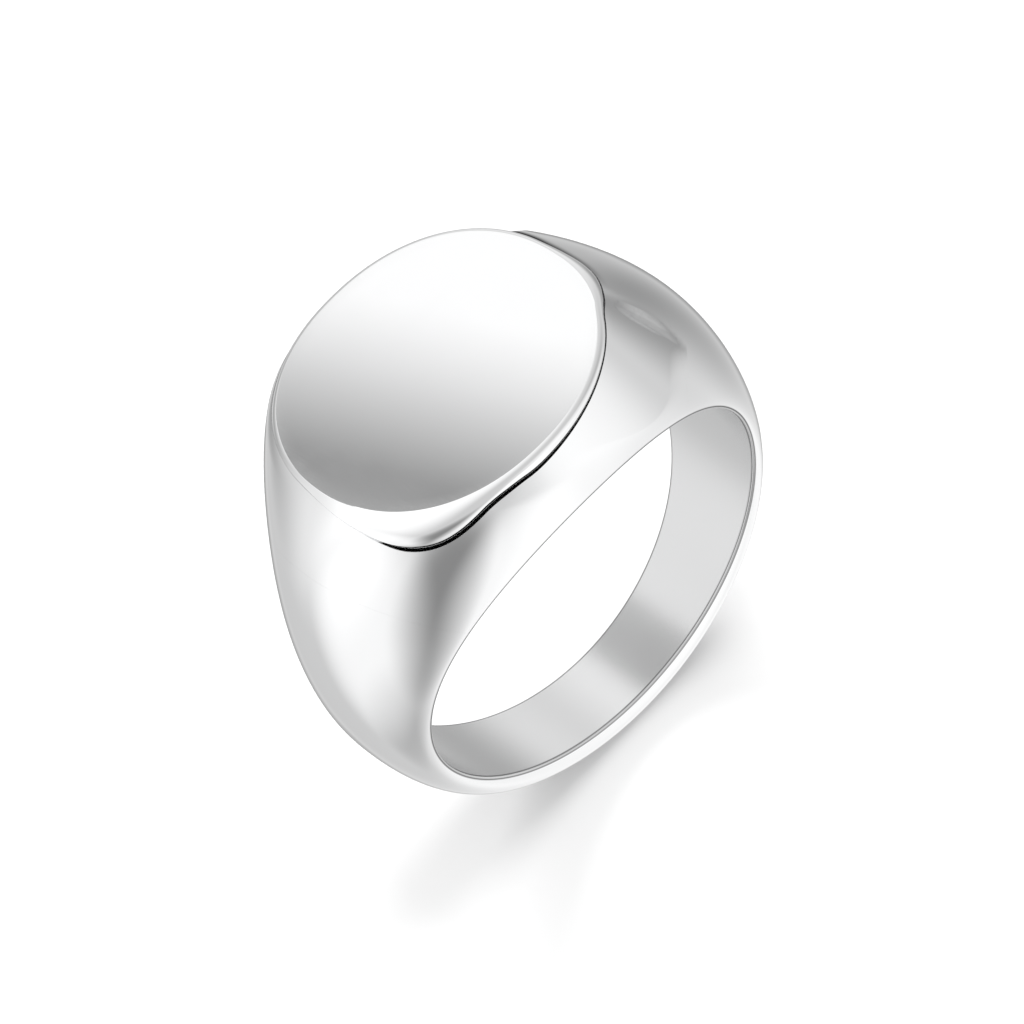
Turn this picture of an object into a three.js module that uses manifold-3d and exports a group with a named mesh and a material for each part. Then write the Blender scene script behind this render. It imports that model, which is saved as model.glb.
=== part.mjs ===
// Signet ring with a flat oval seal face, in millimetres, +Z up.
// The origin is the centre of the finger bore, the bore runs along Y, and the seal face looks along +Z.
// The ring is built up on the bench: a seal plate is let into a head, two tapering shoulders
// are butted to the head, and a shank closes the hoop. Thin solder seams part the pieces.
import * as THREE from "three";
import { ParametricGeometry } from "three/addons/geometries/ParametricGeometry.js";
import { mergeVertices } from "three/addons/utils/BufferGeometryUtils.js";
import Module from "manifold-3d";

// ---------------------------------------------------------------- driving dimensions
const boreRadius = 9.9; // US size 10
const boreEdgeBreak = 0.12; // 45 degree break round both mouths of the bore

const shankThickness = 1.3; // at the bottom of the hoop
const shankWidth = 3.9; // front to back at the bottom of the hoop
const headWidth = 15.3; // front to back over the bore mouths, under the seal face

const sealRise = 4.2; // seal face above the top of the bore
const sealLength = 14.7; // flat of the seal face, across the finger
const sealWidth = 13.9; // flat of the seal face, along the finger
const sealRoundness = 2.14; // exponent of the oval: 2 is an ellipse, more is squarer
const sealEdgeBreak = 0.28; // how far the plate's rounded edge stands out past the flat
const sealEdgeDrop = 0.3; // height of that edge
// Places where the plate's side swells out and down, by degrees round the plate from its right end.
const swells = [
  { angle: 216, reach: 45, break: 0.65, drop: 1.05 }, // front left corner
  { angle: 347, reach: 22, break: 0.38, drop: 0.4 }, // in front of the right end
];
const sealPlateThickness = 3.1;

const solderSeam = 0.05; // gap that the solder fills between two pieces
const headJointAngle = 43; // degrees from the top of the ring to the head's side joints
const shankJointAngle = 112; // degrees from the top of the ring to the shank's joints

// Cheeks: the metal round the plate is filed just below the seal face, and filed away steeply
// between the plate and the right shoulder, at the front and at the back.
const rimDrop = 0.2; // filed surface below the seal face, at the plate's side
const rimSlope = 0.5; // fall of the filed surface away from the plate
const cheekSlope = 1.9; // more fall, once the cheek has begun
const cheekSteepening = 2.4; // more again, towards the middle of the front and back
const cheekStartAngle = 18; // degrees round the plate from its right end
const cheekFullAngle = 27;
const cheekSteepAngle = 70;
const cheekFadeAngle = 90;
const cheekEndAngle = 120;
const filingReach = 2.1; // how far past the plate's edge the filing goes

// Section and taper laws. "rise" is 0 at the bottom of the hoop and 1 at the top.
const widthLinearShare = 0.45; // part of the widening that is even, the rest comes near the head
const crownSquareShare = 0.37; // part of the crown's growth that starts low on the shoulders
const sideFullness = 1.15; // exponent of the section towards the bore mouths
const crownFullness = 2; // exponent of the section over the crown
const shankSquareness = 4; // added to both exponents at the bottom of the hoop
const headSquareness = 1.75; // added to both exponents under the seal face
const headSquarenessPower = 16; // how close to the head that squareness stays

// Facets
const hoopFacets = 96;
const sectionFacets = 18;
const boreFacets = 4;
const ovalFacets = 72;

// ---------------------------------------------------------------- shape laws
const rad = THREE.MathUtils.degToRad;
const riseAt = (angle) => (1 + Math.cos(angle)) / 2;

// Half the hoop's width, front to back, at an angle from the top.
function halfWidthAt(angle) {
  const rise = riseAt(angle);
  const share = widthLinearShare * rise + (1 - widthLinearShare) * rise ** 3;
  return (shankWidth + (headWidth - shankWidth) * share) / 2;
}

// The seal face stands over the bore's top by its own rise.
const sealHeight = boreRadius + sealRise;

// The crown's growth passes through the end of the seal face, so the shoulders always run into it.
const crownShare = (rise) => crownSquareShare * rise ** 2 + (1 - crownSquareShare) * rise ** 6;
const sealEndRadius = Math.hypot(sealLength / 2, sealHeight);
const sealEndAngle = Math.atan2(sealLength / 2, sealHeight);
const shankRadius = boreRadius + shankThickness;
const crownGrowth = (sealEndRadius - shankRadius) / crownShare(riseAt(sealEndAngle));
const crownRadiusAt = (angle) => shankRadius + crownGrowth * crownShare(riseAt(angle));

// A point on the outside of the hoop: angle from the top, sweep from -1 (front mouth) to 1 (back mouth).
function outsidePoint(angle, sweep, target) {
  const rise = riseAt(angle);
  const squareness = shankSquareness * (1 - rise) ** 4 + headSquareness * rise ** headSquarenessPower;
  const turn = (sweep * Math.PI) / 2;
  const across = Math.sign(turn) * Math.abs(Math.sin(turn)) ** (2 / (crownFullness + squareness));
  const up = Math.max(Math.cos(turn), 0) ** (2 / (sideFullness + squareness));
  const foot = boreRadius + boreEdgeBreak;
  const radius = foot + (crownRadiusAt(angle) - foot) * up;
  return target.set(radius * Math.sin(angle), halfWidthAt(angle) * across, radius * Math.cos(angle));
}

// A point of the oval, grown outwards by margin, at a turn of 0 to 1 round Z.
function ovalPoint(turn, margin) {
  const angle = turn * 2 * Math.PI;
  const power = 2 / sealRoundness;
  const cos = Math.cos(angle);
  const sin = Math.sin(angle);
  return new THREE.Vector2(
    (sealLength / 2 + margin) * Math.sign(cos) * Math.abs(cos) ** power,
    (sealWidth / 2 + margin) * Math.sign(sin) * Math.abs(sin) ** power,
  );
}

// Degrees round the plate from its right end, the same at the front and at the back.
const degreesFromRight = (turn) => 360 * Math.min(turn % 1, 1 - (turn % 1));

// What the swells add to a size at a turn, each a squared cosine over its reach.
function swollen(turn, size) {
  let sum = 0;
  for (const swell of swells) {
    const apart = Math.abs(360 * (turn % 1) - swell.angle);
    const away = Math.min(apart, 360 - apart) / swell.reach;
    if (away < 1) sum += swell[size] * Math.cos((away * Math.PI) / 2) ** 2;
  }
  return sum;
}

const sideBreakAt = (turn) => sealEdgeBreak + swollen(turn, "break");
const sideDropAt = (turn) => sealEdgeDrop + swollen(turn, "drop");

// Height of the filed surface at a turn round the plate and a distance out from the flat's edge.
function filedHeight(turn, distance) {
  const around = degreesFromRight(turn);
  const { smoothstep } = THREE.MathUtils;
  const cheek = smoothstep(around, cheekStartAngle, cheekFullAngle);
  const steeper = smoothstep(around, cheekFullAngle, cheekSteepAngle);
  const kept = 1 - smoothstep(around, cheekFadeAngle, cheekEndAngle);
  const slope = rimSlope + (cheekSlope * cheek + cheekSteepening * steeper) * kept;
  return sealHeight - rimDrop - slope * Math.max(distance - sealEdgeBreak, 0);
}

// ---------------------------------------------------------------- solids
const wasm = await Module();
wasm.setup();

// Position-only geometry with shared vertices and no collapsed triangles.
function weld(geometry) {
  const bare = geometry.clone();
  bare.deleteAttribute("normal");
  bare.deleteAttribute("uv");
  const merged = mergeVertices(bare, 1e-4);
  const index = [...merged.index.array];
  const kept = [];
  for (let i = 0; i < index.length; i += 3) {
    const [a, b, c] = index.slice(i, i + 3);
    if (a !== b && b !== c && c !== a) kept.push(a, b, c);
  }
  merged.setIndex(kept);
  return merged;
}

function solidOf(geometry) {
  const welded = weld(geometry);
  const made = new wasm.Manifold(
    new wasm.Mesh({
      numProp: 3,
      vertProperties: welded.attributes.position.array,
      triVerts: new Uint32Array(welded.index.array),
    }),
  );
  if (made.volume() <= 0) throw new Error("a surface faces inwards");
  return made;
}

function geometryOf(solid) {
  const mesh = solid.getMesh();
  const geometry = new THREE.BufferGeometry();
  geometry.setAttribute("position", new THREE.BufferAttribute(mesh.vertProperties, 3));
  geometry.setIndex(new THREE.BufferAttribute(mesh.triVerts, 1));
  geometry.computeVertexNormals();
  return geometry;
}

// The whole hoop as one closed skin: over the outside from front to back, then back along the bore.
function hoopSolid() {
  const stacks = sectionFacets + boreFacets;
  const skin = (u, v, target) => {
    const angle = u * 2 * Math.PI;
    const step = v * stacks;
    const along = (step - sectionFacets - 1) / (boreFacets - 2);
    if (step <= sectionFacets) {
      outsidePoint(angle, (2 * step) / sectionFacets - 1, target);
    } else if (along > 1) {
      outsidePoint(angle, -1, target);
    } else {
      const mouth = halfWidthAt(angle) - boreEdgeBreak;
      const y = mouth - 2 * mouth * Math.max(along, 0);
      target.set(boreRadius * Math.sin(angle), y, boreRadius * Math.cos(angle));
    }
  };
  return solidOf(new ParametricGeometry(skin, hoopFacets, stacks));
}

// A solid lofted round Z through rings, closed on the axis at both ends.
// Each ring is a function from a turn to { point, z }.
function loftSolid(rings) {
  const stacks = rings.length + 1;
  const skin = (u, v, target) => {
    const ring = Math.round(v * stacks) - 1;
    const { point, z } = rings[THREE.MathUtils.clamp(ring, 0, rings.length - 1)](u % 1);
    const closing = ring < 0 || ring >= rings.length;
    target.set(closing ? 0 : point.x, closing ? 0 : point.y, z);
  };
  return solidOf(new ParametricGeometry(skin, ovalFacets, stacks));
}

// The seal plate: a straight wall, a rounded edge and the flat face.
function sealPlateSolid() {
  const floor = sealHeight - sealPlateThickness;
  const edgeSteps = 4;
  const edgeRings = Array.from({ length: edgeSteps + 1 }, (_, step) => (turn) => {
    const roll = (step / edgeSteps) * (Math.PI / 2);
    const margin = sideBreakAt(turn) * Math.cos(roll);
    return { point: ovalPoint(turn, margin), z: sealHeight - sideDropAt(turn) * (1 - Math.sin(roll)) };
  });
  const foot = (turn) => ({ point: ovalPoint(turn, sideBreakAt(turn)), z: floor });
  return loftSolid([foot, ...edgeRings]);
}

// The pocket for the plate: its wall and floor stand off by the solder seam.
function pocketSolid() {
  const floor = sealHeight - sealPlateThickness - solderSeam;
  const wallAt = (z) => (turn) => ({ point: ovalPoint(turn, sideBreakAt(turn) + solderSeam), z });
  return loftSolid([wallAt(floor), wallAt(2 * sealHeight)]);
}

// Everything that is filed away round the plate.
function filingSolid() {
  const reach = sealEdgeBreak + filingReach;
  const outSteps = 6;
  const rings = Array.from({ length: outSteps + 1 }, (_, step) => (turn) => {
    const distance = sealEdgeBreak + (reach - sealEdgeBreak) * (step / outSteps);
    return { point: ovalPoint(turn, distance), z: filedHeight(turn, distance) };
  });
  const lid = (turn) => ({ point: ovalPoint(turn, reach), z: 2 * sealHeight });
  const seat = (turn) => ({ point: ovalPoint(turn, -sealWidth / 4), z: sealHeight - rimDrop });
  return loftSolid([seat, ...rings, lid]);
}

// A wedge of the hoop between two angles from the top, held off both joint planes by half a seam.
function wedgeSolid(fromAngle, toAngle) {
  const middle = (fromAngle + toAngle) / 2;
  const half = (toAngle - fromAngle) / 2;
  const setback = solderSeam / 2 / Math.sin(half);
  const reach = 4 * sealHeight;
  const apex = new THREE.Vector2(Math.sin(middle), Math.cos(middle)).multiplyScalar(setback);
  const corner = (angle) =>
    new THREE.Vector2(Math.sin(angle), Math.cos(angle)).multiplyScalar(reach).add(apex);
  const outline = new THREE.Shape([apex, corner(toAngle), corner(middle), corner(fromAngle)]);
  const depth = 2 * headWidth;
  const wedge = new THREE.ExtrudeGeometry(outline, { depth, bevelEnabled: false, steps: 1 });
  wedge.rotateX(Math.PI / 2);
  wedge.translate(0, depth / 2, 0);
  return solidOf(wedge);
}

// ---------------------------------------------------------------- assembly
const hoop = hoopSolid().subtract(filingSolid()).subtract(pocketSolid());
const headJoint = rad(headJointAngle);
const shankJoint = rad(shankJointAngle);
const pieces = {
  seal_plate: sealPlateSolid(),
  head: hoop.intersect(wedgeSolid(-headJoint, headJoint)),
  left_shoulder: hoop.intersect(wedgeSolid(-shankJoint, -headJoint)),
  right_shoulder: hoop.intersect(wedgeSolid(headJoint, shankJoint)),
  shank: hoop.intersect(wedgeSolid(shankJoint, 2 * Math.PI - shankJoint)),
};

const ring = new THREE.Group();
ring.name = "signet_ring";
for (const [name, solid] of Object.entries(pieces)) {
  const polish = new THREE.MeshStandardMaterial({ color: 0xd2d3d5, metalness: 1, roughness: 0.06 });
  const mesh = new THREE.Mesh(geometryOf(solid), polish);
  mesh.name = name;
  ring.add(mesh);
}

export default ring;
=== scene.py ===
"""Signet ring in polished silver with a flat oval seal face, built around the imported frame.

The finger bore runs along Y through the origin and the seal face looks along +Z. Lengths are written in
millimetres and turned to metres where a mesh is made. Angles round the hoop are measured from the top
of the ring, positive towards +X.
"""

import logging  # noqa: E402
import math  # noqa: E402
from dataclasses import dataclass, field  # noqa: E402
from enum import Enum  # noqa: E402

import bpy  # noqa: E402
import numpy as np  # noqa: E402
from mathutils import Matrix, Vector  # noqa: E402


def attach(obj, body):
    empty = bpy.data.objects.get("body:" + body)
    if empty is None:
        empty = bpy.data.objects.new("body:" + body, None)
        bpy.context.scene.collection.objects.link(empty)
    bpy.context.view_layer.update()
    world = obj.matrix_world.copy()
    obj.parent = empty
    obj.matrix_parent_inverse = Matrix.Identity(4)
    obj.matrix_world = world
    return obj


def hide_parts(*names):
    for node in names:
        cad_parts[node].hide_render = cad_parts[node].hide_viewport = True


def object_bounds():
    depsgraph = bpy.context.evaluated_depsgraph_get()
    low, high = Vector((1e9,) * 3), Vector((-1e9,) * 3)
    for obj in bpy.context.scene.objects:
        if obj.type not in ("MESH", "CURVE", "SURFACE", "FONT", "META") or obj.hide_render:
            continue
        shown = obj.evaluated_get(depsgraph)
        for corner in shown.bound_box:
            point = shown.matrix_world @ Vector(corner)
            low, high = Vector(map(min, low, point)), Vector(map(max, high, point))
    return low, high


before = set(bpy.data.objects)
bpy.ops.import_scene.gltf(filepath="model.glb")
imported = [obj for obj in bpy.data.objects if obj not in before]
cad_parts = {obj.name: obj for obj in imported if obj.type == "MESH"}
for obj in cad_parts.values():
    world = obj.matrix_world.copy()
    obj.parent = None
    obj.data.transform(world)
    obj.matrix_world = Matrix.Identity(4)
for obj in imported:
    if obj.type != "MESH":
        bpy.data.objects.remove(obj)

log = logging.getLogger("signet_ring")

METRES = 0.001  # metres in a millimetre
MOUTH_STEPS = 12  # points along each quarter round at the mouths of the bore
MOUTH_SWEEPS = (6e-3, 3e-3, 1.2e-3, 4e-4, 1e-4, 2e-5)  # how far from a mouth its extra columns stand
SLOPE_STEP = 1e-3  # mm to each side, where a slope is found by central differences
CAD_BOX = [list(corner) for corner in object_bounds()]


class Wall(Enum):
    """Which wall of the hoop a patch of skin belongs to."""

    OUTSIDE = 0.0
    INSIDE = 1.0


# ------------------------------------------------------------------------------------------ shape laws


def signed_power(values: np.ndarray, power: float | np.ndarray) -> np.ndarray:
    """Raise the size of each value to a power and keep its sign."""
    return np.sign(values) * np.abs(values) ** power


def smooth_step(values: np.ndarray, low: float, high: float) -> np.ndarray:
    """Ease from 0 at low to 1 at high: three times the share squared less twice its cube."""
    share = np.clip((values - low) / (high - low), 0.0, 1.0)
    return share * share * (3 - 2 * share)


def unit(vectors: np.ndarray) -> np.ndarray:
    """Scale each vector to length one."""
    return vectors / np.maximum(np.linalg.norm(vectors, axis=-1, keepdims=True), 1e-12)


def degrees_away(turn: np.ndarray, middle: float) -> np.ndarray:
    """Degrees from a middle, itself in degrees, to each turn in radians, the short way round."""
    away = turn - math.radians(middle)
    return np.abs(np.degrees(np.arctan2(np.sin(away), np.cos(away))))


@dataclass(frozen=True)
class Swell:
    """A stretch round the plate, in degrees, and how far the plate's side swells out and down there."""

    angle: float
    reach: float
    side_break: float = 0.0
    side_drop: float = 0.0

    def share(self, turn: np.ndarray) -> np.ndarray:
        """A squared cosine of the angle away from the middle, over the reach."""
        share = np.minimum(degrees_away(turn, self.angle) / self.reach, 1.0)
        return np.cos(share * np.pi / 2) ** 2


@dataclass(frozen=True)
class SealOval:
    """The oval of the seal face, a superellipse, and the surface that is filed round it.

    A margin grows both half axes by the same length. "Degrees from right" run round the plate from its
    right end to its left end, the same at the front and at the back.
    """

    length: float = 14.7
    width: float = 13.9
    roundness: float = 2.14
    height: float = 14.1
    side_break: float = 0.28
    side_drop: float = 0.3
    corner_swell: Swell = Swell(-144.0, 45.0, 0.65, 1.05)
    end_swell: Swell = Swell(-13.0, 22.0, 0.38, 0.4)
    corner_line: Swell = Swell(-125.0, 75.0)
    # far_line: where a painted shade line runs along the crease by the plate's far side.
    far_line: Swell = Swell(14.0, 40.0)
    rim_drop: float = 0.2
    rim_slope: float = 0.5
    cheek_slope: float = 1.9
    cheek_steepening: float = 2.4
    cheek_start: float = 18.0
    cheek_full: float = 27.0
    cheek_steep: float = 70.0
    cheek_fade: float = 90.0
    cheek_end: float = 120.0
    filing_reach: float = 3.2
    open_middle: float = -52.0
    open_reach: float = 92.0
    open_fade: float = 18.0

    def point(self, turn: np.ndarray, margin: float | np.ndarray) -> tuple[np.ndarray, np.ndarray]:
        """Point of the oval: half axis times the signed cosine or sine to the power 2 / roundness.

        Args:
            turn: angle round the oval in radians, 0 along +X.
            margin: how far the oval is grown, in mm.

        Returns:
            The x and y of the points, in mm.
        """
        power = 2 / self.roundness
        x = (self.length / 2 + margin) * signed_power(np.cos(turn), power)
        y = (self.width / 2 + margin) * signed_power(np.sin(turn), power)
        return x, y

    def margin_and_turn(self, x: np.ndarray, y: np.ndarray) -> tuple[np.ndarray, np.ndarray]:
        """Margin and turn of the oval through each point, the margin by Newton steps.

        The margin m solves (|x| / (length/2 + m))^n + (|y| / (width/2 + m))^n = 1.

        Args:
            x: x of the points in mm.
            y: y of the points in mm.

        Returns:
            The margins in mm, not below zero, and the turns in radians.
        """
        n = self.roundness
        margin = np.maximum(np.hypot(x, y) - self.width / 2, 0.0)
        for _ in range(12):
            across = self.length / 2 + margin
            along = self.width / 2 + margin
            over = (np.abs(x) / across) ** n + (np.abs(y) / along) ** n - 1
            slope = -n * ((np.abs(x) / across) ** n / across + (np.abs(y) / along) ** n / along)
            margin = np.maximum(margin - over / np.minimum(slope, -1e-9), 0.0)
        across = (np.abs(x) / (self.length / 2 + margin)) ** (n / 2)
        along = (np.abs(y) / (self.width / 2 + margin)) ** (n / 2)
        return margin, np.arctan2(along * np.sign(y), across * np.sign(x))

    def side_break_at(self, turn: np.ndarray) -> np.ndarray:
        """How far the plate's side stands out past the flat."""
        corner = self.corner_swell.side_break * self.corner_swell.share(turn)
        return self.side_break + corner + self.end_swell.side_break * self.end_swell.share(turn)

    def side_drop_at(self, turn: np.ndarray) -> np.ndarray:
        """How far below the seal face the plate's side becomes upright."""
        corner = self.corner_swell.side_drop * self.corner_swell.share(turn)
        return self.side_drop + corner + self.end_swell.side_drop * self.end_swell.share(turn)

    def open_share(self, turn: np.ndarray) -> np.ndarray:
        """Share of the seam that stays open: 1 along the front and 0 where it is polished flush."""
        away = degrees_away(turn, self.open_middle)
        return 1 - smooth_step(away, self.open_reach, self.open_reach + self.open_fade)

    def filed_height(self, x: np.ndarray, y: np.ndarray, around: np.ndarray | None = None) -> np.ndarray:
        """Height of the filed surface: seal height, less a drop, less a slope times the margin.

        The slope grows by smooth steps where a cheek begins and towards the middle of the front and
        back, and falls back to the rim's slope over the left shoulder. Beyond the reach of the filing
        the height is far above the ring.

        Args:
            x: x of the points in mm.
            y: y of the points in mm.
            around: degrees from right that set the slope, or None for each point's own.

        Returns:
            The heights in mm.
        """
        margin, turn = self.margin_and_turn(x, y)
        if around is None:
            around = degrees_away(turn, 0.0)
        cheek = smooth_step(around, self.cheek_start, self.cheek_full)
        steeper = smooth_step(around, self.cheek_full, self.cheek_steep)
        kept = 1 - smooth_step(around, self.cheek_fade, self.cheek_end)
        slope = self.rim_slope + (self.cheek_slope * cheek + self.cheek_steepening * steeper) * kept
        out = margin - self.side_break
        height = self.height - self.rim_drop - slope * np.maximum(out, 0.0)
        return np.where(out < self.filing_reach, height, 2 * self.height)


@dataclass(frozen=True)
class Hoop:
    """The hoop's outside and bore, before it is parted into pieces.

    "rise" is 0 at the bottom of the hoop and 1 at the top.
    """

    bore_radius: float = 9.9
    edge_break: float = 0.12
    shank_thickness: float = 1.3
    shank_width: float = 3.9
    head_width: float = 15.3
    width_linear_share: float = 0.45
    crown_square_share: float = 0.37
    side_fullness: float = 1.15
    crown_fullness: float = 2.0
    shank_squareness: float = 4.0
    head_squareness: float = 1.75
    head_squareness_power: float = 16.0
    filed_from: float = 0.6  # share of the seal's height over which the filing acts
    ridge_blend: float = 0.4
    hollow_least: float = 0.05  # least share of the filed surface's slope in the normal
    polish_allowance: float = 0.003
    mouth_wear: float = 14.0
    # The mouth lines are painted dark lines that stand in for the dark reflections along the bore's
    # edges; this sets how dark they are painted.
    painted_mouth_darkness: float = 0.9
    mouth_line_width: float = 0.035
    outer_line_width: float = 0.25  # this and the next two in shares of a mouth's quarter round
    inner_line_place: float = 0.85
    inner_line_width: float = 0.14
    oval: SealOval = field(default_factory=SealOval)

    @property
    def foot_radius(self) -> float:
        """Radius where the outside meets the broken edge of the bore."""
        return self.bore_radius + self.edge_break

    @staticmethod
    def rise(angle: np.ndarray | float) -> np.ndarray | float:
        """Half of one plus the cosine of the angle from the top."""
        return (1 + np.cos(angle)) / 2

    def half_width(self, angle: np.ndarray) -> np.ndarray:
        """Half the hoop's width: a share that is even in the rise and the rest in its cube."""
        rise = self.rise(angle)
        share = self.width_linear_share * rise + (1 - self.width_linear_share) * rise**3
        return (self.shank_width + (self.head_width - self.shank_width) * share) / 2

    def crown_share(self, rise: np.ndarray | float) -> np.ndarray | float:
        """Share of the crown's growth: part in the square of the rise, the rest in its sixth power."""
        return self.crown_square_share * rise**2 + (1 - self.crown_square_share) * rise**6

    def crown_radius(self, angle: np.ndarray) -> np.ndarray:
        """Radius over the crown, which grows so that it passes through the end of the seal face."""
        half = self.oval.length / 2
        start = self.bore_radius + self.shank_thickness
        at_end = self.crown_share(self.rise(math.atan2(half, self.oval.height)))
        growth = (math.hypot(half, self.oval.height) - start) / at_end
        return start + growth * self.crown_share(self.rise(angle)) - self.polish_allowance

    def section_powers(self, angle: np.ndarray) -> tuple[np.ndarray, np.ndarray]:
        """Exponents of the section's superellipse, across the crown and towards the mouths."""
        rise = self.rise(angle)
        squareness = self.shank_squareness * (1 - rise) ** 4
        squareness = squareness + self.head_squareness * rise**self.head_squareness_power
        return self.crown_fullness + squareness, self.side_fullness + squareness

    def band_point(self, angle: np.ndarray, sweep: np.ndarray) -> np.ndarray:
        """Point of the band before the cheeks are filed.

        Across the width the point moves as a sine to the power 2 / crown power, and outwards from the
        foot radius to the crown radius as a cosine to the power 2 / side power.

        Args:
            angle: angle from the top of the ring in radians.
            sweep: -1 at the front mouth to 1 at the back mouth.

        Returns:
            Points in mm, with a last axis of three.
        """
        crown_power, side_power = self.section_powers(angle)
        turn = sweep * np.pi / 2
        across = signed_power(np.sin(turn), 2 / crown_power)
        up = np.maximum(np.cos(turn), 0.0) ** (2 / side_power)
        up = np.where(np.abs(sweep) >= 1, 0.0, up)
        radius = self.foot_radius + (self.crown_radius(angle) - self.foot_radius) * up
        y = self.half_width(angle) * np.where(np.abs(sweep) >= 1, np.sign(sweep), across)
        return np.stack([radius * np.sin(angle), y, radius * np.cos(angle)], axis=-1)

    def band_level(self, points: np.ndarray) -> np.ndarray:
        """Level function of the band: the two superellipse terms less one, zero on the band."""
        angle = np.arctan2(points[..., 0], points[..., 2])
        radius = np.hypot(points[..., 0], points[..., 2])
        crown_power, side_power = self.section_powers(angle)
        out = np.maximum(radius - self.foot_radius, 1e-7) / (self.crown_radius(angle) - self.foot_radius)
        return (np.abs(points[..., 1]) / self.half_width(angle)) ** crown_power + out**side_power - 1

    def band_normal(self, points: np.ndarray) -> np.ndarray:
        """Unit gradient of the level function, by central differences."""
        shifts = SLOPE_STEP * np.eye(3)
        parts = [self.band_level(points + shift) - self.band_level(points - shift) for shift in shifts]
        return unit(np.stack(parts, axis=-1))

    def filed(self, angle: np.ndarray, sweep: np.ndarray) -> tuple[np.ndarray, np.ndarray, np.ndarray]:
        """Point, normal and wear of the outside once the cheeks are filed.

        The height is the smaller of the band's and the filed surface's, eased over the ridge: within
        ridge_blend of each other the two are joined by a parabola, and their normals mix by the
        parabola's slopes.

        Args:
            angle: angle from the top of the ring in radians.
            sweep: -1 at the front mouth to 1 at the back mouth.

        Returns:
            Points in mm, unit normals, and wear from 0 to 1, which is highest along the ridge.
        """
        points = self.band_point(angle, sweep)
        normals = self.band_normal(points)
        x, y, z = points[..., 0], points[..., 1], points[..., 2]
        high = z > self.filed_from * self.oval.height
        filed = np.where(high, self.oval.filed_height(x, y), 2 * self.oval.height)
        step = SLOPE_STEP
        around = degrees_away(self.oval.margin_and_turn(x, y)[1], 0.0)
        height = self.oval.filed_height
        slope_x = height(x + step, y, around) - height(x - step, y, around)
        slope_y = height(x, y + step, around) - height(x, y - step, around)
        hollow = np.stack([-slope_x / (2 * step), -slope_y / (2 * step), np.ones_like(x)], axis=-1)
        near = np.maximum(self.ridge_blend - np.abs(z - filed), 0.0) / self.ridge_blend
        eased = np.minimum(z, filed) - near**2 * self.ridge_blend / 4
        band_share = np.where(z < filed, 1 - near / 2, near / 2)[..., None]
        upright = np.maximum(normals[..., 2:], self.hollow_least)
        mixed = band_share * normals + (1 - band_share) * hollow * upright
        points = np.stack([x, y, np.where(high, eased, z)], axis=-1)
        normals = np.where(high[..., None], unit(mixed), normals)
        mouth = np.exp(-((1 - np.abs(sweep)) * self.mouth_wear) ** 2)
        return points, normals, np.maximum(near * high, mouth)

    def bore_chain(self, angle: np.ndarray, count: int) -> tuple[np.ndarray, np.ndarray]:
        """Chain across the bore with a quarter round at each mouth.

        Args:
            angle: angles from the top of the ring in radians, one row each.
            count: number of points from the front mouth to the back mouth.

        Returns:
            Points in mm and unit normals, rows by count.
        """
        turn = np.linspace(0.0, np.pi / 2, MOUTH_STEPS)
        ease = np.linspace(0.0, 1.0, count - 2 * MOUTH_STEPS + 2)
        half = self.half_width(angle)[:, None]
        inset = half - self.edge_break
        front_y = -inset - self.edge_break * np.cos(turn)
        middle_y = -inset + 2 * inset * ease[1:-1]
        y = np.concatenate([front_y, middle_y, -front_y[:, ::-1]], axis=1)
        drop = np.concatenate([np.sin(turn), np.ones(len(ease) - 2), np.sin(turn)[::-1]])
        side = np.concatenate([-np.cos(turn), np.zeros(len(ease) - 2), np.cos(turn)[::-1]])
        radius = self.foot_radius - self.edge_break * drop
        sin, cos = np.sin(angle)[:, None], np.cos(angle)[:, None]
        points = np.stack([radius * sin, y, radius * cos], axis=-1)
        normals = np.stack([-drop * sin, side + 0 * y, -drop * cos], axis=-1)
        return points, unit(normals)

    def outside_painted_line(self, angle: np.ndarray, points: np.ndarray) -> np.ndarray:
        """Painted dark line on the outside, standing in for the dark reflection along the mouth's edge: a
        bell curve of the distance from that edge.
        """
        aside = self.half_width(angle) - np.abs(points[..., 1])
        above = np.hypot(points[..., 0], points[..., 2]) - self.foot_radius
        return self.painted_mouth_darkness * np.exp(-((np.hypot(aside, above) / self.mouth_line_width) ** 2))

    def bore_painted_lines(self, count: int) -> np.ndarray:
        """Painted dark lines along a bore chain, standing in for dark reflections: a line at both sides
        of each quarter round and none elsewhere.
        """
        turn = np.linspace(0.0, 1.0, MOUTH_STEPS)
        outer = np.exp(-((turn / self.outer_line_width) ** 2))
        inner = np.exp(-(((turn - self.inner_line_place) / self.inner_line_width) ** 2))
        bells = self.painted_mouth_darkness * (outer + inner)
        return np.concatenate([bells, np.zeros(count - 2 * MOUTH_STEPS), bells[::-1]])


# ------------------------------------------------------------------------------------------ mesh maker


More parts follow.
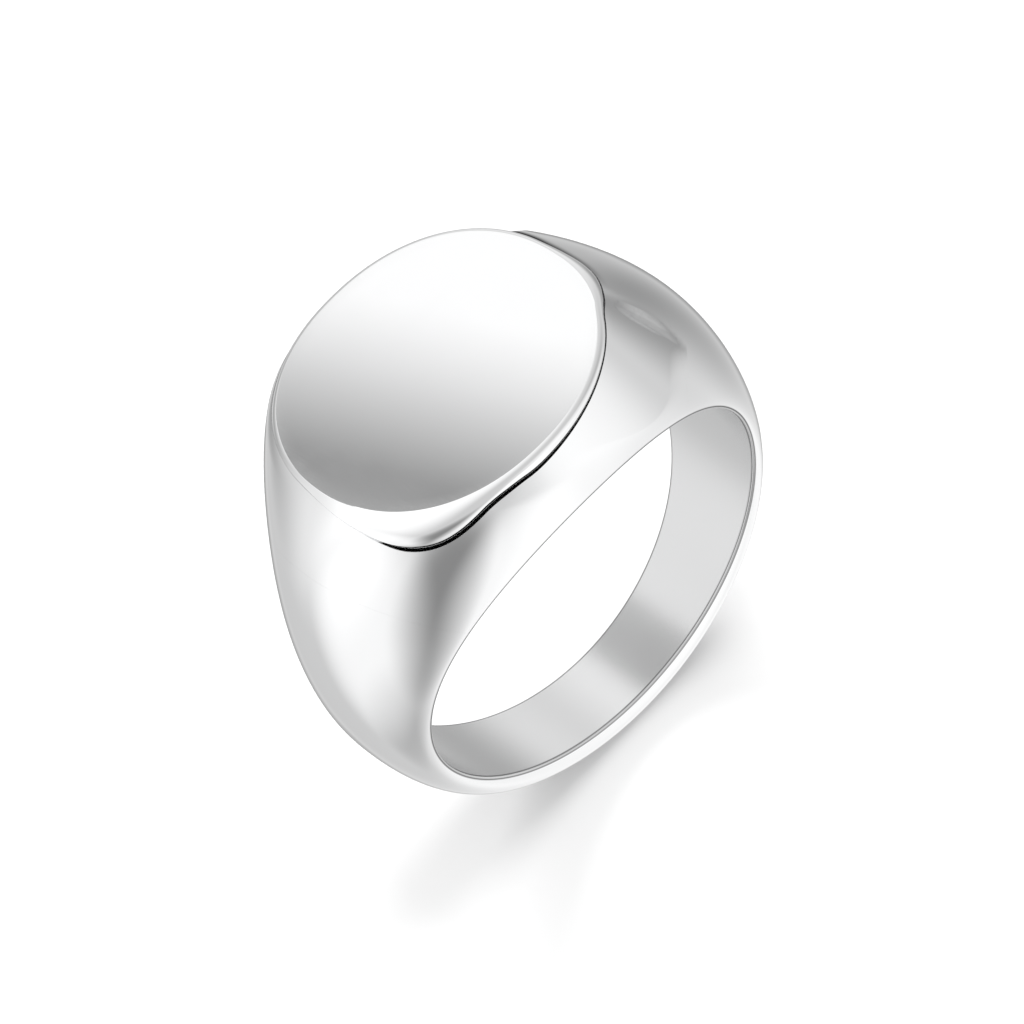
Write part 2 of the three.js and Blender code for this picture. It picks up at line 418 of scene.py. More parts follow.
class Skin:
    """A closed surface gathered from grids of points, with exact normals at every corner."""

    def __init__(self) -> None:
        """Start with no patches."""
        self.points: list[np.ndarray] = []
        self.normals: list[np.ndarray] = []
        self.marks: dict[str, list[np.ndarray]] = {"wear": [], "inside": [], "dark": []}
        self.quads: list[np.ndarray] = []
        self.count = 0

    def add(
        self,
        points: np.ndarray,
        normals: np.ndarray,
        wear: np.ndarray | float = 0.0,
        wall: Wall = Wall.OUTSIDE,
        dark: np.ndarray | float = 0.0,
    ) -> None:
        """Add a grid, with its faces turned to agree with its normals.

        Args:
            points: rows by columns by three, in mm.
            normals: unit normals of the same shape, or one normal for the whole grid.
            wear: how worn each point is, from 0 to 1.
            wall: outside or inside of the hoop.
            dark: how dark each point is painted, from 0 to 1, for painted shade and painted dark
                reflection lines.
        """
        rows, columns = points.shape[:2]
        normals = np.broadcast_to(normals, points.shape)
        index = np.arange(rows * columns).reshape(rows, columns)
        quads = np.stack([index[:-1, :-1], index[1:, :-1], index[1:, 1:], index[:-1, 1:]], axis=-1)
        flat = points.reshape(-1, 3)
        quads = quads.reshape(-1, 4)
        across = np.cross(flat[quads[:, 2]] - flat[quads[:, 0]], flat[quads[:, 3]] - flat[quads[:, 1]])
        if np.sum(across * normals.reshape(-1, 3)[quads[:, 0]]) < 0:
            quads = quads[:, ::-1]
        self.points.append(flat)
        self.normals.append(normals.reshape(-1, 3))
        for label, mark in (("wear", wear), ("inside", wall.value), ("dark", dark)):
            self.marks[label].append(np.broadcast_to(mark, (rows, columns)).ravel())
        self.quads.append(quads + self.count)
        self.count += rows * columns

    def make(self, name: str) -> bpy.types.Object:
        """Weld the patches and make the object.

        Points that coincide become one vertex, and a face that loses a corner becomes a triangle.

        Args:
            name: name of the new object.

        Returns:
            The object, at the origin, linked to the scene.
        """
        points = np.concatenate(self.points)
        normals = np.concatenate(self.normals)
        quads = np.concatenate(self.quads)
        _, first, joined = np.unique(
            np.round(points * 1e6).astype(np.int64), axis=0, return_index=True, return_inverse=True
        )
        joined = joined.ravel()
        welded = joined[quads]
        repeats = welded == np.roll(welded, -1, axis=1)
        lost = repeats.sum(axis=1)
        whole = lost == 0
        corners = [quads[whole].ravel()]
        faces = welded[whole].tolist()
        triangle = lost == 1
        kept = quads[triangle][~repeats[triangle]].reshape(-1, 3)
        corners.append(kept.ravel())
        faces += joined[kept].tolist()
        mesh = bpy.data.meshes.new(name)
        mesh.from_pydata((points[first] * METRES).tolist(), [], faces)
        mesh.polygons.foreach_set("use_smooth", np.ones(len(faces), dtype=bool))
        mesh.normals_split_custom_set(normals[np.concatenate(corners)].tolist())
        for label, parts in self.marks.items():
            value = np.zeros(len(first))
            np.maximum.at(value, joined, np.concatenate(parts))
            layer = mesh.attributes.new(label, "FLOAT", "POINT")
            layer.data.foreach_set("value", value.astype(np.float32))
        mesh.update()
        piece = bpy.data.objects.new(name, mesh)
        bpy.context.scene.collection.objects.link(piece)
        log.info("%s: %d vertices, %d faces", name, len(mesh.vertices), len(mesh.polygons))
        return piece


# ------------------------------------------------------------------------------------------ finishes


class Nodes:
    """Short hand for building a node tree."""

    def __init__(self, tree: bpy.types.NodeTree) -> None:
        """Keep the tree and empty it."""
        self.tree = tree
        tree.nodes.clear()

    def new(self, kind: str, **settings: object) -> bpy.types.Node:
        """Add a node and set its plain properties."""
        node = self.tree.nodes.new(kind)
        for key, value in settings.items():
            setattr(node, key, value)
        return node

    def feed(self, node: bpy.types.Node, socket: str | int, source: object) -> None:
        """Link an output to a socket, or set the socket's own value."""
        if isinstance(source, bpy.types.NodeSocket):
            self.tree.links.new(source, node.inputs[socket])
        else:
            node.inputs[socket].default_value = source

    def math(self, operation: str, *values: object) -> bpy.types.NodeSocket:
        """Add a Math node on up to three values and return its output."""
        node = self.new("ShaderNodeMath", operation=operation)
        for place, value in enumerate(values):
            self.feed(node, place, value)
        return node.outputs[0]

    def spread(self, value: object, *limits: float, ease: str = "LINEAR") -> bpy.types.NodeSocket:
        """Map a value from one range, low and high, to another, and hold it inside."""
        node = self.new("ShaderNodeMapRange", interpolation_type=ease)
        for socket, amount in enumerate((value, *limits)):
            self.feed(node, socket, amount)
        return node.outputs[0]

    def mix(self, share: object, first: object, second: object) -> bpy.types.NodeSocket:
        """Mix two colours by a share."""
        node = self.new("ShaderNodeMix", data_type="RGBA")
        for socket, source in ((0, share), (6, first), (7, second)):
            self.feed(node, socket, source)
        return node.outputs[2]

    def choose(self, share: object, first: object, second: object) -> bpy.types.NodeSocket:
        """Mix two numbers by a share."""
        node = self.new("ShaderNodeMix", data_type="FLOAT")
        for socket, source in ((0, share), (2, first), (3, second)):
            self.feed(node, socket, source)
        return node.outputs[0]

    def noise(self, place: object, scale: float, detail: float, stretch: tuple = (1, 1, 1)) -> object:
        """Noise texture on stretched coordinates."""
        mapping = self.new("ShaderNodeMapping")
        self.feed(mapping, "Vector", place)
        self.feed(mapping, "Scale", stretch)
        node = self.new("ShaderNodeTexNoise")
        self.feed(node, "Vector", mapping.outputs[0])
        self.feed(node, "Scale", scale)
        self.feed(node, "Detail", detail)
        return node.outputs["Fac"]

    def finish(self, shader: bpy.types.Node, kind: str = "ShaderNodeOutputMaterial") -> None:
        """Send a shader to the tree's output."""
        self.feed(self.new(kind), "Surface", shader.outputs[0])


def new_material(name: str) -> tuple[bpy.types.Material, Nodes]:
    """Start a material with an empty node tree."""
    made = bpy.data.materials.new(name)
    made.use_nodes = True
    return made, Nodes(made.node_tree)


@dataclass(frozen=True)
class SilverPolish:
    """Polished silver with polishing marks, cloudy patches and worn edges, with painted shade in the bore
    and painted dark lines along the mouths and a crease.

    Scales are in cycles a metre and roughness is the shader's own.
    """

    name: str
    tint: tuple[float, float, float] = (0.93, 0.932, 0.936)
    # Colour of the painted dark lines: painted shade in the crease and painted dark reflections along the
    # mouths.
    painted_shade_colour: tuple[float, float, float] = (0.12, 0.12, 0.12)
    inside_shade: float = 0.88
    grazing: float = 0.93
    roughness: float = 0.035
    patch_roughness: float = 0.03
    wear_roughness: float = 0.07
    inside_roughness: float = 0.2
    mark_scale: float = 900.0
    mark_stretch: tuple[float, float, float] = (1.0, 14.0, 14.0)
    mark_strength: float = 0.012
    patch_scale: float = 260.0
    patch_shade: float = 0.97

    def _shade(self, amount: float) -> tuple[float, ...]:
        """The metal's colour, darkened."""
        return (*(level * amount for level in self.tint), 1.0)

    def material(self) -> bpy.types.Material:
        """Build the finish.

        Returns:
            A material that reads Object coordinates and the wear, inside and dark attributes.
        """
        made, nodes = new_material(self.name)
        place = nodes.new("ShaderNodeTexCoord").outputs["Object"]
        wear, inside, dark = (
            nodes.new("ShaderNodeAttribute", attribute_name=label).outputs["Fac"]
            for label in ("wear", "inside", "dark")
        )
        patches = nodes.noise(place, self.patch_scale, 3.0)
        marks = nodes.noise(place, self.mark_scale, 4.0, self.mark_stretch)
        cross_marks = nodes.noise(place, self.mark_scale * 1.7, 3.0, self.mark_stretch[::-1])
        rubbed = nodes.math("MULTIPLY", wear, nodes.spread(cross_marks, 0.3, 0.7, 0.4, 1.0))
        rough = nodes.spread(patches, 0.35, 0.7, self.roughness, self.roughness + self.patch_roughness)
        rough = nodes.math("ADD", rough, nodes.math("MULTIPLY", rubbed, self.wear_roughness))
        rough = nodes.math("ADD", rough, nodes.math("MULTIPLY", inside, self.inside_roughness))
        rough = nodes.math("ADD", rough, nodes.spread(marks, 0.45, 0.75, 0.0, 0.015))
        half = nodes.math("MULTIPLY", patches, 0.5)
        bright = nodes.mix(half, self._shade(1.0), self._shade(self.patch_shade))
        # Painted shade: the bore is painted darker than the outside of the same metal.
        bored = nodes.mix(inside, bright, self._shade(self.inside_shade))
        # Painted shade: the dark attribute paints the crease by the plate and the lines along the mouths
        # almost black.
        with_painted_shade = nodes.mix(dark, bored, (*self.painted_shade_colour, 1.0))
        # The same painted dark lines also turn the reflection's tint to black.
        edge = nodes.mix(dark, (*([self.grazing] * 3), 1.0), (0.0, 0.0, 0.0, 1.0))
        bump = nodes.new("ShaderNodeBump")
        nodes.feed(bump, "Strength", self.mark_strength)
        nodes.feed(bump, "Distance", 2e-6)
        nodes.feed(bump, "Height", nodes.math("ADD", marks, cross_marks))
        shader = nodes.new("ShaderNodeBsdfPrincipled")
        nodes.feed(shader, "Base Color", with_painted_shade)
        nodes.feed(shader, "Specular Tint", edge)
        nodes.feed(shader, "Metallic", 1.0)
        nodes.feed(shader, "Roughness", rough)
        nodes.feed(shader, "Normal", bump.outputs[0])
        nodes.finish(shader)
        return made


# ------------------------------------------------------------------------------------------ the pieces


def keep_off_floor(piece: bpy.types.Object) -> None:
    """Leave a piece out of the floor's shading, so that only the shank's narrow shadow lies there."""
    piece.visible_shadow = False
    piece.visible_diffuse = False


@dataclass
class SealPlate:
    """The flat oval plate that carries the seal face, let into the head."""

    oval: SealOval
    hoop: Hoop
    thickness: float = 3.1
    crisp_edge: float = 28.0
    soft_edge: float = 8.0
    finish: SilverPolish = SilverPolish("seal_silver", roughness=0.022, mark_stretch=(14.0, 1.0, 14.0))
    flush_by: float = 0.6  # share of the side's roll by which it lies flush with the band
    edge_wear: float = 6.0
    turns: int = 480
    edge_steps: int = 24
    wall_steps: int = 8
    disc_rings: int = 13

    def side_point(self, turn: np.ndarray, roll: np.ndarray) -> np.ndarray:
        """Point on the plate's rolled side.

        The side is the part of an elliptical arc that starts at the flat at an edge angle and ends
        upright. The edge angle is crisp over the corner's swell and soft elsewhere.

        Args:
            turn: angle round the oval in radians.
            roll: 0 at the flat and 1 where the side becomes upright.

        Returns:
            Points in mm, with a last axis of three.
        """
        crisp = self.oval.corner_swell.share(turn)
        start = np.radians(self.soft_edge + (self.crisp_edge - self.soft_edge) * crisp)
        angle = start + (np.pi / 2 - start) * roll
        margin = self.oval.side_break_at(turn) * (np.sin(angle) - np.sin(start)) / (1 - np.sin(start))
        drop = self.oval.side_drop_at(turn) * (np.cos(start) - np.cos(angle)) / np.cos(start)
        x, y = self.oval.point(turn, margin)
        return np.stack([x, y, self.oval.height - drop], axis=-1)

    def side_normal(self, turn: np.ndarray, roll: np.ndarray) -> np.ndarray:
        """Unit normal of the side: the cross product of its two central differences."""
        step = 1e-4
        low, high = np.clip(roll - step, 0.0, 1.0), np.clip(roll + step, 0.0, 1.0)
        down = self.side_point(turn, high) - self.side_point(turn, low)
        along = self.side_point(turn + step, roll) - self.side_point(turn - step, roll)
        return unit(np.cross(down, along))

    def polished_normal(self, turn: np.ndarray, roll: np.ndarray) -> np.ndarray:
        """Normal of the side, which flows into the band's where the seam is polished flush."""
        normal = self.side_normal(turn, roll)
        band = self.hoop.band_normal(self.side_point(turn, roll))
        flush = (1 - self.oval.open_share(turn)) * smooth_step(roll, 0.0, self.flush_by)
        return unit(normal * (1 - flush[..., None]) + band * flush[..., None])

    def wall_normal(self, turn: np.ndarray) -> np.ndarray:
        """Level unit normal of the upright part of the side."""
        normal = self.side_normal(turn, np.ones_like(turn))
        return unit(normal * np.array([1.0, 1.0, 0.0]))

    def build(self) -> bpy.types.Object:
        """Loft the plate round Z: flat underside, upright wall, rolled side and flat face.

        Returns:
            The finished piece.
        """
        turn = np.linspace(-np.pi, np.pi, self.turns + 1)
        turn[-1] = turn[0]
        underside = self.oval.height - self.thickness
        skin = Skin()
        roll = np.linspace(0.0, 1.0, self.edge_steps)[:, None] + 0 * turn
        around = turn + 0 * roll
        side = self.side_point(around, roll)
        skin.add(side, self.polished_normal(around, roll), np.exp(-((roll * self.edge_wear) ** 2)))
        low = np.linspace(0.0, 1.0, self.wall_steps)[:, None, None]
        foot = side[-1] * np.array([1.0, 1.0, 0.0]) + np.array([0.0, 0.0, underside])
        wall = side[-1] * (1 - low) + foot * low
        wall[0], wall[-1] = side[-1], foot
        skin.add(wall, self.wall_normal(turn)[None])
        self._disc(skin, side[0], 1.0)
        self._disc(skin, foot, -1.0)
        return skin.make("polished_seal_plate")

    def _disc(self, skin: Skin, rim: np.ndarray, side: float) -> None:
        """Close one end with a flat disc: the rim scaled in even steps down to its centre."""
        scale = np.linspace(1.0, 0.0, self.disc_rings)[:, None, None]
        level = rim * np.array([0.0, 0.0, 1.0])
        points = level + (rim - level) * scale
        points[0] = rim
        skin.add(points, np.array([0.0, 0.0, side]))

    def dress(self, piece: bpy.types.Object) -> None:
        """Give the plate its finish and tie it to the frame."""
        piece.data.materials.append(self.finish.material())
        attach(piece, "root")
        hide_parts("seal_plate")
        keep_off_floor(piece)


@dataclass
class RingBand:
    """The head, the two shoulders and the shank, which are butted end to end round the bore."""

    hoop: Hoop
    plate: SealPlate
    head_joint: float = 43.0
    shank_joint: float = 112.0
    joint_line: float = 0.004
    solder_seam: float = 0.05
    seam_line: float = 0.02
    lip: float = 0.015
    flush_seam: float = 0.003
    corner_seam: float = 0.085
    corner_lip: float = 0.03
    # Width of the painted shade line along the far crease, measured from the pocket's lip.
    far_line_width: float = 0.26
    finish: SilverPolish = SilverPolish("band_silver")
    across: int = 96
    crowding: float = 0.45  # how much closer the columns stand towards the mouths
    row_power: float = 1.25  # how much closer the head's rows stand beside the pocket
    head_columns: int = 161
    head_rows: int = 110
    shoulder_rows: int = 140
    shank_rows: int = 220

    def _sweeps(self) -> np.ndarray:
        """Sweeps from mouth to mouth, closer together towards the mouths and closest beside them."""
        even = np.linspace(-1.0, 1.0, self.across - 2 * len(MOUTH_SWEEPS))
        sweeps = (1 - self.crowding) * even + self.crowding * np.sin(even * np.pi / 2)
        beside = 1.0 - np.array(MOUTH_SWEEPS)
        return np.concatenate([sweeps[:1], -beside[::-1], sweeps[1:-1], beside, sweeps[-1:]])

    def _span(self, start: float, end: float, steps: int) -> np.ndarray:
        """Angles in radians from one joint to the next, held back by the joint line."""
        return np.radians(np.linspace(start + self.joint_line, end - self.joint_line, steps))

    def _close(self, skin: Skin, outside: np.ndarray, bore: np.ndarray, angle: float, way: float) -> None:
        """Close a joint with a flat face of straight lines from the outside to the bore."""
        share = np.linspace(0.0, 1.0, 8)[:, None, None]
        points = outside[None] * (1 - share) + bore[None] * share
        points[0], points[-1] = outside, bore
        skin.add(points, way * np.array([math.cos(angle), 0.0, -math.sin(angle)]))

    def wedge(self, name: str, start: float, end: float, steps: int) -> bpy.types.Object:
        """Make a plain stretch of the hoop between two joints.

        Args:
            name: name of the piece.
            start: first joint's angle in degrees.
            end: second joint's angle in degrees.
            steps: rows of points round the hoop.

        Returns:
            The finished piece.
        """
        angle = self._span(start, end, steps)
        sweep = self._sweeps()
        skin = Skin()
        grid_angle, grid_sweep = np.meshgrid(angle, sweep, indexing="ij")
        outside, normals, wear = self.hoop.filed(grid_angle, grid_sweep)
        bore, bore_normals = self.hoop.bore_chain(angle, self.across)
        bore[:, 0], bore[:, -1] = outside[:, 0], outside[:, -1]
        # dark paints dark lines along the mouths, standing in for dark reflections.
        skin.add(outside, normals, wear, dark=self.hoop.outside_painted_line(grid_angle, outside))
        skin.add(bore, bore_normals, 0.0, Wall.INSIDE, self.hoop.bore_painted_lines(self.across))
        self._close(skin, outside[0], bore[0], angle[0], -1.0)
        self._close(skin, outside[-1], bore[-1], angle[-1], 1.0)
        return skin.make(name)

    def _find_on_band(self, x: np.ndarray, y: np.ndarray) -> tuple[np.ndarray, np.ndarray]:
        """Angle and sweep whose band point stands over each x and y, by Newton steps."""
        angle = np.arctan2(x, self.hoop.oval.height)
        sweep = np.clip(y / self.hoop.half_width(angle), -0.99, 0.99) * 0.7
        step = 1e-5
        for _ in range(60):
            here = self.hoop.band_point(angle, sweep)
            by_angle = (self.hoop.band_point(angle + step, sweep) - here) / step
            by_sweep = (self.hoop.band_point(angle, sweep + step) - here) / step
            off_x, off_y = x - here[..., 0], y - here[..., 1]
            det = by_angle[..., 0] * by_sweep[..., 1] - by_sweep[..., 0] * by_angle[..., 1]
            det = np.where(np.abs(det) < 1e-6, 1e-6, det)
            turn_by = (off_x * by_sweep[..., 1] - off_y * by_sweep[..., 0]) / det
            sweep_by = (off_y * by_angle[..., 0] - off_x * by_angle[..., 1]) / det
            angle = angle + np.clip(turn_by, -0.05, 0.05)
            sweep = np.clip(sweep + np.clip(sweep_by, -0.05, 0.05), -0.999, 0.999)
        return angle, sweep

    def head(self) -> bpy.types.Object:
        """Make the head: the top of the hoop, with the filed cheeks and the pocket for the plate.

        The outside is a ring of straight lines in angle and sweep, from the pocket's lip out to the
        rectangle of the two joints and the two mouths. The pocket's wall and floor close it.

        Returns:
            The finished piece.
        """
        oval = self.hoop.oval
        angle = self._span(-self.head_joint, self.head_joint, self.head_columns)
        sweep = self._sweeps()
        right = np.stack([np.full(len(sweep) - 1, angle[-1]), sweep[:-1]])
        back = np.stack([angle[:0:-1], np.ones(len(angle) - 1)])
        left = np.stack([np.full(len(sweep) - 1, angle[0]), sweep[:0:-1]])
        front = np.stack([angle[:-1], -np.ones(len(angle) - 1)])
        rim = np.concatenate([right, back, left, front], axis=1)
        rim = np.concatenate([rim, rim[:, :1]], axis=1)
        turn = np.arctan2(rim[1], rim[0] / angle[-1])
        seam, lip = self._groove(turn)
        margin = oval.side_break_at(turn) + seam + lip
        lip_x, lip_y = oval.point(turn, margin)
        lip_angle, lip_sweep = self._find_on_band(lip_x, lip_y)
        reach = np.linspace(0.0, 1.0, self.head_rows) ** self.row_power
        reach = np.concatenate([reach[:-1], 1.0 - np.array(MOUTH_SWEEPS), reach[-1:]])[:, None]
        grid_angle = lip_angle * (1 - reach) + rim[0] * reach
        grid_sweep = lip_sweep * (1 - reach) + rim[1] * reach
        grid_angle[-1], grid_sweep[-1] = rim
        outside, normals, wear = self.hoop.filed(grid_angle, grid_sweep)
        skin = Skin()
        from_lip = np.linalg.norm(outside - outside[:1], axis=-1)
        # Painted shade: a dark line along the pocket's lip over the far side, in the crease by the plate.
        painted_crease_shade = oval.far_line.share(turn) * np.exp(-((from_lip / self.far_line_width) ** 2))
        dark = np.maximum(self.hoop.outside_painted_line(grid_angle, outside), painted_crease_shade)
        skin.add(outside, normals, wear, dark=dark)
        self._pocket(skin, turn, outside[0], normals[0])
        bore, bore_normals = self.hoop.bore_chain(angle, self.across)
        rim_points = outside[-1]
        sides = len(sweep) - 1
        ends = len(angle) - 1
        right_edge = rim_points[: sides + 1]
        back_edge = rim_points[sides : sides + ends + 1][::-1]
        left_edge = rim_points[sides + ends : 2 * sides + ends + 1][::-1]
        front_edge = rim_points[2 * sides + ends :]
        bore[:, 0], bore[:, -1] = front_edge, back_edge
        # Painted dark reflection lines along both mouths of the bore.
        skin.add(bore, bore_normals, 0.0, Wall.INSIDE, self.hoop.bore_painted_lines(self.across))
        self._close(skin, left_edge, bore[0], angle[0], -1.0)
        self._close(skin, right_edge, bore[-1], angle[-1], 1.0)
        return skin.make("polished_head")

    def _groove(self, turn: np.ndarray) -> tuple[np.ndarray, np.ndarray]:
        """Width of the seam and of its rounded lip, open at the front and polished flush elsewhere."""
        opened = self.hoop.oval.open_share(turn)
        wide = self.hoop.oval.corner_line.share(turn)
        seam = self.flush_seam + (self.seam_line + self.corner_seam * wide) * opened
        return seam, self.flush_seam + (self.lip + self.corner_lip * wide) * opened

    def _pocket(self, skin: Skin, turn: np.ndarray, lip: np.ndarray, lip_normals: np.ndarray) -> None:
        """Close the pocket: a small rounded lip, a straight wall and a flat floor to the centre."""
        oval = self.hoop.oval
        seam, lip_size = self._groove(turn)
        wall_margin = oval.side_break_at(turn) + seam
        floor = oval.height - self.plate.thickness - self.solder_seam
        x, y = oval.point(turn, wall_margin)
        inward = -self.plate.wall_normal(turn)
        lip_low = np.stack([x, y, lip[..., 2] - lip_size], axis=-1)
        skin.add(np.stack([lip, lip_low]), np.stack([lip_normals, inward]), 1.0)
        drop = np.linspace(0.0, 1.0, 8)[:, None]
        wall = np.stack([x + 0 * drop, y + 0 * drop, lip_low[:, 2] * (1 - drop) + floor * drop], axis=-1)
        skin.add(wall, inward[None])
        scale = np.linspace(1.0, 0.0, 9)[:, None]
        disc = np.stack([x * scale, y * scale, np.full_like(x * scale, floor)], axis=-1)
        skin.add(disc, np.array([0.0, 0.0, 1.0]))

    def build(self) -> dict[str, bpy.types.Object]:
        """Make the four pieces.

        Returns:
            Each piece by the name of the frame's node that it stands for.
        """
        head, shank, rows = self.head_joint, self.shank_joint, self.shoulder_rows
        return {
            "head": self.head(),
            "left_shoulder": self.wedge("polished_left_shoulder", -shank, -head, rows),
            "right_shoulder": self.wedge("polished_right_shoulder", head, shank, rows),
            "shank": self.wedge("polished_shank", shank, 360 - shank, self.shank_rows),
        }

    def dress(self, pieces: dict[str, bpy.types.Object]) -> None:
        """Give the four pieces their finish and tie them to the frame."""
        metal = self.finish.material()
        for node, piece in pieces.items():
            piece.data.materials.append(metal)
            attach(piece, "root")
            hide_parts(node)
        for node in ("head", "left_shoulder", "right_shoulder"):
            keep_off_floor(pieces[node])


# ------------------------------------------------------------------------------------------ the studio


def direction(azimuth: float, elevation: float) -> Vector:
    """Unit vector at an azimuth in degrees from +Y towards +X and an elevation from the level."""
    turn, lift = math.radians(azimuth), math.radians(elevation)
    return Vector(
        (math.sin(turn) * math.cos(lift), math.cos(turn) * math.cos(lift), math.sin(lift))
    )


@dataclass(frozen=True)
class SoftPatch:
    """A soft-edged patch of the studio's surroundings, lighter or darker than the rest."""

    azimuth: float
    elevation: float
    reach: float
    level: float


@dataclass
class Studio:
    """Surroundings, floor, overhead card and lamps.

    The surround and all the patches but the last are a least-squares fit, not set by hand.
    """

    floor_height: float
    seal_height: float
    surround: float = 0.656
    ambient: float = 0.83
    patches: tuple[SoftPatch, ...] = (
        SoftPatch(-89.2, -24.4, 35.1, 0.37),
        SoftPatch(-135.3, -27.4, 29.5, -0.39),
        SoftPatch(-101.8, -52.3, 22.2, -0.17),
        SoftPatch(-158.2, -50.8, 30.9, 0.38),
        SoftPatch(-20.7, 15.0, 45.1, -0.48),
        SoftPatch(45.4, -27.0, 43.1, -0.5),
        SoftPatch(98.9, -14.1, 68.2, -0.72),
        SoftPatch(85.6, -27.6, 83.6, 0.75),
        SoftPatch(-56.4, 45.3, 80.3, 0.56),
        SoftPatch(145.1, -13.7, 47.8, 0.34),
        SoftPatch(19, -50, 22, -0.45),
    )
    floor_reach: float = 4.0
    card_height: float = 0.110
    card_wide: float = 0.09
    card_deep: float = 0.03
    card_lean: float = 14.4
    ramp_start: float = -0.00705
    ramp_length: float = 0.0123
    ramp_steps: tuple[tuple[float, float], ...] = (
        (0.03, 0.40),
        (0.10, 0.33),
        (0.18, 0.335),
        (0.24, 0.39),
        (0.38, 0.54),
        (0.52, 0.69),
        (0.66, 0.85),
        (0.80, 0.975),
        (0.94, 1.08),
    )

    def build(self) -> None:
        """Set up everything round the ring."""
        self._surroundings()
        self._floor()
        self._card()
        self._lamp("side_lamp", direction(85, 54), 1.0, 34)
        self._lamp("back_lamp", direction(24, 26), 1.6, 30)

    def _surroundings(self) -> None:
        """World light: white to the camera, soft patches to the metal, even light to the floor.

        Each patch adds its level times a smooth step of the cosine between the ray and the patch.
        """
        world = bpy.data.worlds.new("studio")
        bpy.context.scene.world = world
        world.use_nodes = True
        nodes = Nodes(world.node_tree)
        ray = nodes.new("ShaderNodeTexCoord").outputs["Generated"]
        total: object = self.surround
        for patch in self.patches:
            dot = nodes.new("ShaderNodeVectorMath", operation="DOT_PRODUCT")
            nodes.feed(dot, 0, ray)
            nodes.feed(dot, 1, direction(patch.azimuth, patch.elevation))
            edge = math.cos(math.radians(patch.reach))
            light = nodes.spread(dot.outputs["Value"], edge, 1.0, 0.0, patch.level, ease="SMOOTHSTEP")
            total = nodes.math("ADD", total, light)
        total = nodes.math("MAXIMUM", total, 0.0)
        light_path = nodes.new("ShaderNodeLightPath")
        level = nodes.choose(light_path.outputs["Is Glossy Ray"], self.ambient, total)
        seen = nodes.choose(light_path.outputs["Is Camera Ray"], level, 1.0)
        background = nodes.new("ShaderNodeBackground")
        nodes.feed(background, "Color", (1.0, 1.0, 1.0, 1.0))
        nodes.feed(background, "Strength", seen)
        nodes.finish(background, "ShaderNodeOutputWorld")

    def _sheet(self, name: str, corners: list[tuple[float, float, float]]) -> bpy.types.Object:
        """Make a four-cornered sheet as part of the stage."""
        mesh = bpy.data.meshes.new(name)
        mesh.from_pydata(corners, [], [(0, 1, 2, 3)])
        sheet = bpy.data.objects.new(name, mesh)
        bpy.context.scene.collection.objects.link(sheet)
        return sheet

    def _floor(self) -> None:
        """Lay a wide matt white floor under the shank, which the metal doesn't mirror."""
        reach, z = self.floor_reach, self.floor_height
        corners = [(-reach, -reach, z), (reach, -reach, z), (reach, reach, z), (-reach, reach, z)]
        floor = self._sheet("studio_floor", corners)
        floor.visible_glossy = False
        paper, nodes = new_material("white_paper")
        shader = nodes.new("ShaderNodeBsdfDiffuse")
        nodes.feed(shader, "Color", (0.9, 0.9, 0.9, 1.0))
        nodes.finish(shader)
        floor.data.materials.append(paper)

    def _card(self) -> None:
        """Hang a graded card over the ring, which the seal face mirrors as a soft gradient."""
        mirrored = View().mirrored_off_seal()
        middle = Vector((0, 0, self.seal_height)) + mirrored * (self.card_height / mirrored.z)
        signs = ((-1, -1), (-1, 1), (1, 1), (1, -1))
        corners = [
            (middle.x + along * self.card_wide, middle.y + across * self.card_deep, middle.z)
            for along, across in signs
        ]
        card = self._sheet("graded_card", corners)
        card.visible_camera = False
        card.visible_diffuse = False
        card.visible_shadow = False
        card.data.materials.append(self._card_glow(middle))

    def _card_glow(self, middle: Vector) -> bpy.types.Material:
        """Make the card's light, which changes along a level direction by the steps of the ramp.

        Args:
            middle: middle of the card in metres.

        Returns:
            The material.
        """
        glow, nodes = new_material("card_glow")
        right, up, _ = View().axes()
        lean = math.radians(self.card_lean)
        slope = up * math.cos(lean) + right * math.sin(lean)
        slope.z = 0.0
        place = nodes.new("ShaderNodeTexCoord").outputs["Object"]
        along = nodes.new("ShaderNodeVectorMath", operation="DOT_PRODUCT")
        nodes.feed(along, 0, place)
        nodes.feed(along, 1, slope)
        low = slope.dot(middle) + self.ramp_start
        share = nodes.spread(along.outputs["Value"], low, low + self.ramp_length, 0.0, 1.0)
        ramp = nodes.new("ShaderNodeValToRGB")
        elements = ramp.color_ramp.elements
        while len(elements) < len(self.ramp_steps):
            elements.new(0.5)
        for element, (position, grey) in zip(elements, self.ramp_steps):
            element.position = position
            element.color = (grey, grey, grey, 1.0)
        nodes.feed(ramp, 0, share)
        shader = nodes.new("ShaderNodeEmission")
        nodes.feed(shader, "Color", ramp.outputs[0])
        nodes.finish(shader)
        return glow

    def _lamp(self, name: str, towards: Vector, power: float, spread: float) -> None:
        """Add a broad lamp that throws the floor's soft shadow and is not mirrored.

        Args:
            name: name of the lamp.
            towards: unit vector from the ring to the lamp.
            power: strength of the lamp.
            spread: angle across the lamp in degrees.
        """
        lamp = bpy.data.lights.new(name, "SUN")
        lamp.energy = power
        lamp.angle = math.radians(spread)
        holder = bpy.data.objects.new(name, lamp)
        holder.rotation_euler = towards.to_track_quat("Z", "Y").to_euler()
        holder.visible_glossy = False
        bpy.context.scene.collection.objects.link(holder)


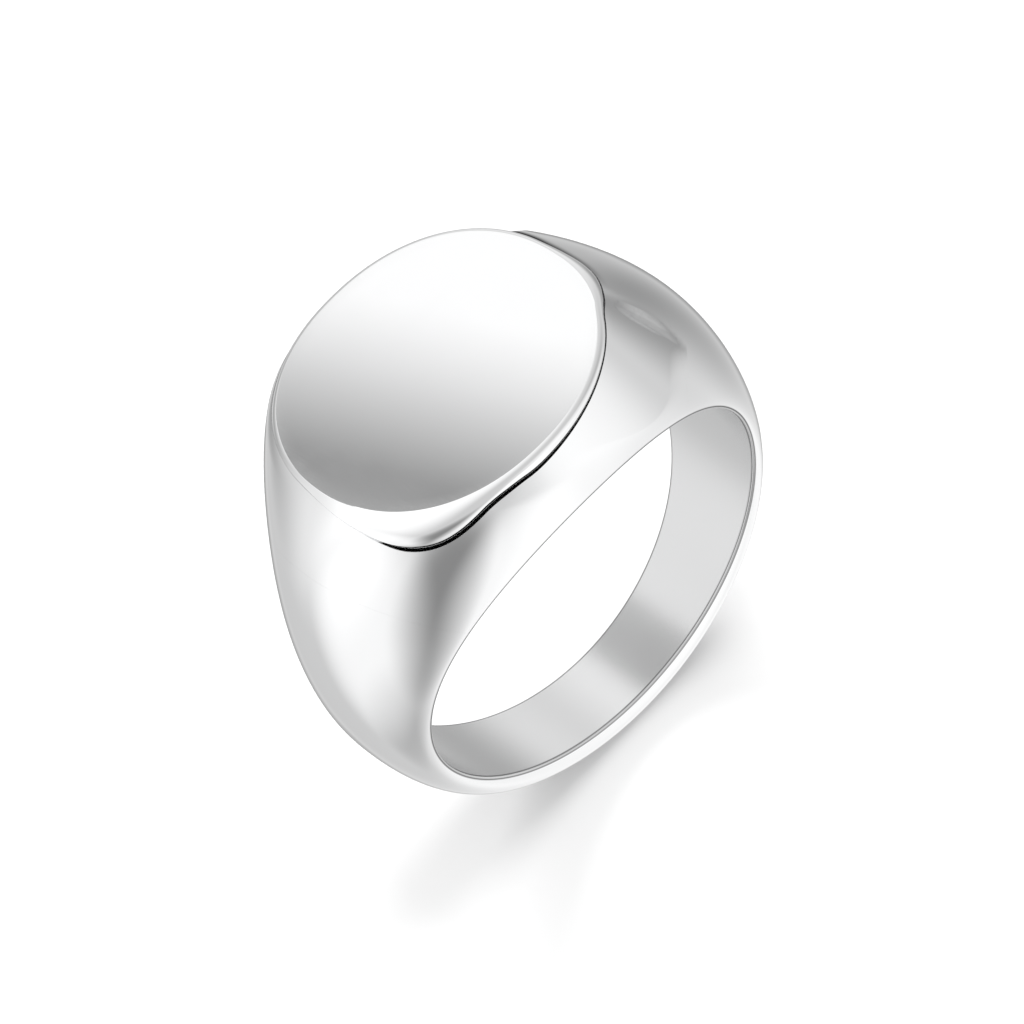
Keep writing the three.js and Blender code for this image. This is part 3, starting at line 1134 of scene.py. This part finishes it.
@dataclass(frozen=True)
class View:
    """A long lens from the front left, above the ring."""

    azimuth: float = -19.29
    elevation: float = 49.91
    roll: float = -29.78
    distance: float = 0.594
    lens: float = 474.6
    aim_right: float = -0.001229
    aim_up: float = 0.001763

    def axes(self) -> tuple[Vector, Vector, Vector]:
        """Right, up and back axes of the camera."""
        turn, lift, roll = (math.radians(v) for v in (self.azimuth, self.elevation, self.roll))
        back = Vector(
            (math.sin(turn) * math.cos(lift), -math.cos(turn) * math.cos(lift), math.sin(lift))
        )
        right = Vector((math.cos(turn), math.sin(turn), 0.0))
        up = back.cross(right)
        rolled_right = right * math.cos(roll) + up * math.sin(roll)
        rolled_up = up * math.cos(roll) - right * math.sin(roll)
        return rolled_right, rolled_up, back

    def mirrored_off_seal(self) -> Vector:
        """Direction in which the level seal face mirrors the camera's line of sight."""
        back = self.axes()[2]
        return Vector((-back.x, -back.y, back.z))

    def build(self) -> None:
        """Add the camera."""
        right, up, back = self.axes()
        camera = bpy.data.cameras.new("studio_camera")
        camera.lens = self.lens
        camera.sensor_width = 36.0
        camera.clip_start = 0.01
        camera.clip_end = 50.0
        holder = bpy.data.objects.new("studio_camera", camera)
        place = back * self.distance + right * self.aim_right + up * self.aim_up
        holder.matrix_world = Matrix(
            (
                (right.x, up.x, back.x, place.x),
                (right.y, up.y, back.y, place.y),
                (right.z, up.z, back.z, place.z),
                (0.0, 0.0, 0.0, 1.0),
            )
        )
        bpy.context.scene.collection.objects.link(holder)
        bpy.context.scene.camera = holder


def main() -> None:
    """Build the ring, piece by piece, then the studio and the camera."""
    logging.basicConfig(level=logging.INFO, format="%(name)s: %(message)s")
    oval = SealOval()
    hoop = Hoop(oval=oval)
    plate = SealPlate(oval, hoop)
    plate.dress(plate.build())
    band = RingBand(hoop, plate)
    band.dress(band.build())
    Studio(floor_height=CAD_BOX[0][2], seal_height=CAD_BOX[1][2]).build()
    View().build()
    bpy.context.scene.view_settings.view_transform = "Standard"


if __name__ == "__main__":
    main()
